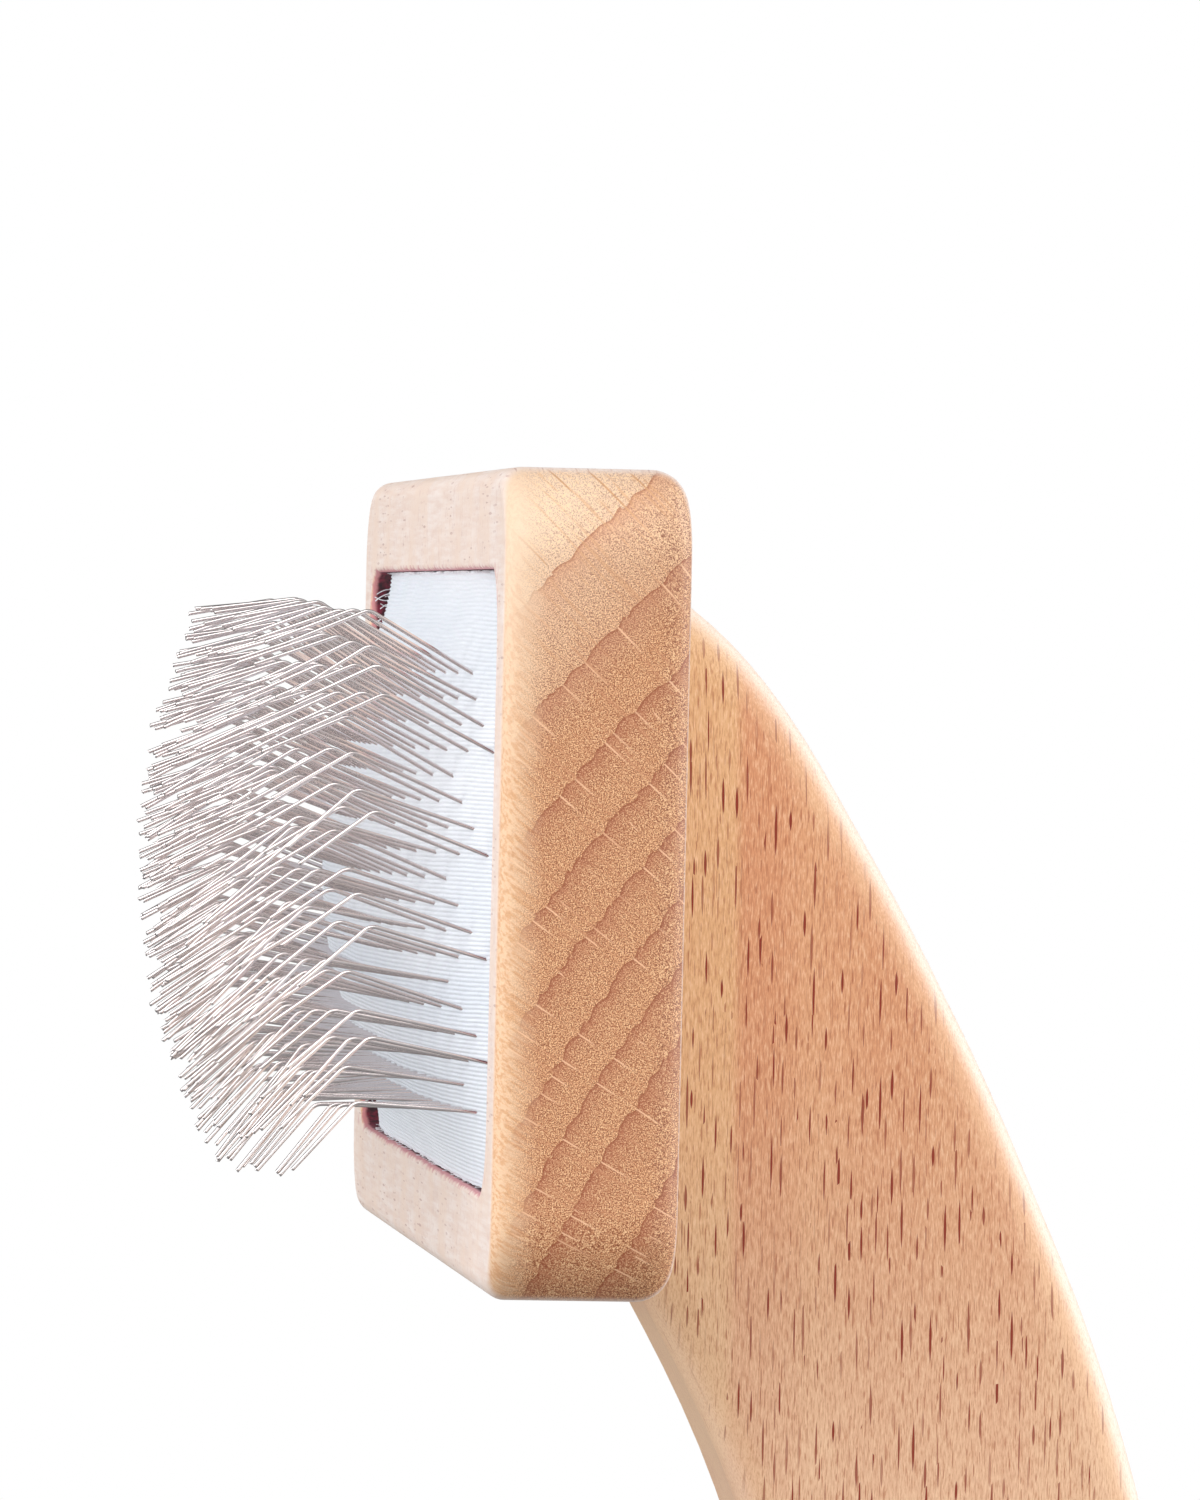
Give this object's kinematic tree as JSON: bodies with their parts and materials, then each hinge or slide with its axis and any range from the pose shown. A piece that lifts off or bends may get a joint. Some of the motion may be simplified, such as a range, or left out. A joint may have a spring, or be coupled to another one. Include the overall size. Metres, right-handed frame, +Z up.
{
  "type": "slicker brush",
  "caption": "Pet slicker brush: beech head with a domed cloth pad of bent wire pins and a curved edgewise beech handle.",
  "frame": {"origin": "centre of the hand grip on the handle", "axes": "-X is the side the wire pins point to, Y runs along the width of the head, +Z runs up from the handle to the head"},
  "size_m": [0.0763, 0.11, 0.1625],
  "materials": {
    "beech_head": "satin lacquered beech, end grain on the end faces",
    "beech_handle": "satin lacquered beech, flecked face grain",
    "zinc_steel": "zinc-plated screw",
    "face_cloth": "white ribbed cotton",
    "ply_cloth": "raw cotton ply",
    "felt": "maroon wool felt",
    "cushion_foam": "matt dark red foam rubber",
    "pin_wire": "drawn steel wire"
  },
  "bodies": {
    "brush": {"head_block": "beech_head", "handle": "beech_handle", "handle_screws": "zinc_steel", "pad_cushion": "cushion_foam"},
    "pin_pad": {"face_cloth": "face_cloth", "core_cloth": "ply_cloth", "backing_cloth": "ply_cloth", "crown_felt": "felt", "pin_row_01": "pin_wire", "pin_row_02": "pin_wire", "pin_row_03": "pin_wire", "pin_row_04": "pin_wire", "pin_row_05": "pin_wire", "pin_row_06": "pin_wire", "pin_row_07": "pin_wire", "pin_row_08": "pin_wire", "pin_row_09": "pin_wire", "pin_row_10": "pin_wire", "pin_row_11": "pin_wire", "pin_row_12": "pin_wire", "pin_row_13": "pin_wire", "pin_row_14": "pin_wire", "pin_row_15": "pin_wire", "pin_row_16": "pin_wire", "pin_row_17": "pin_wire", "pin_row_18": "pin_wire"}
  },
  "joints": [
    {"name": "pad_press", "type": "slide", "parent": "brush", "child": "pin_pad", "axis": [1, 0, 0], "range_m": [0, 0.001], "stiffness_N_per_m": 3000, "deforming": ["pad_cushion"]}
  ]
}
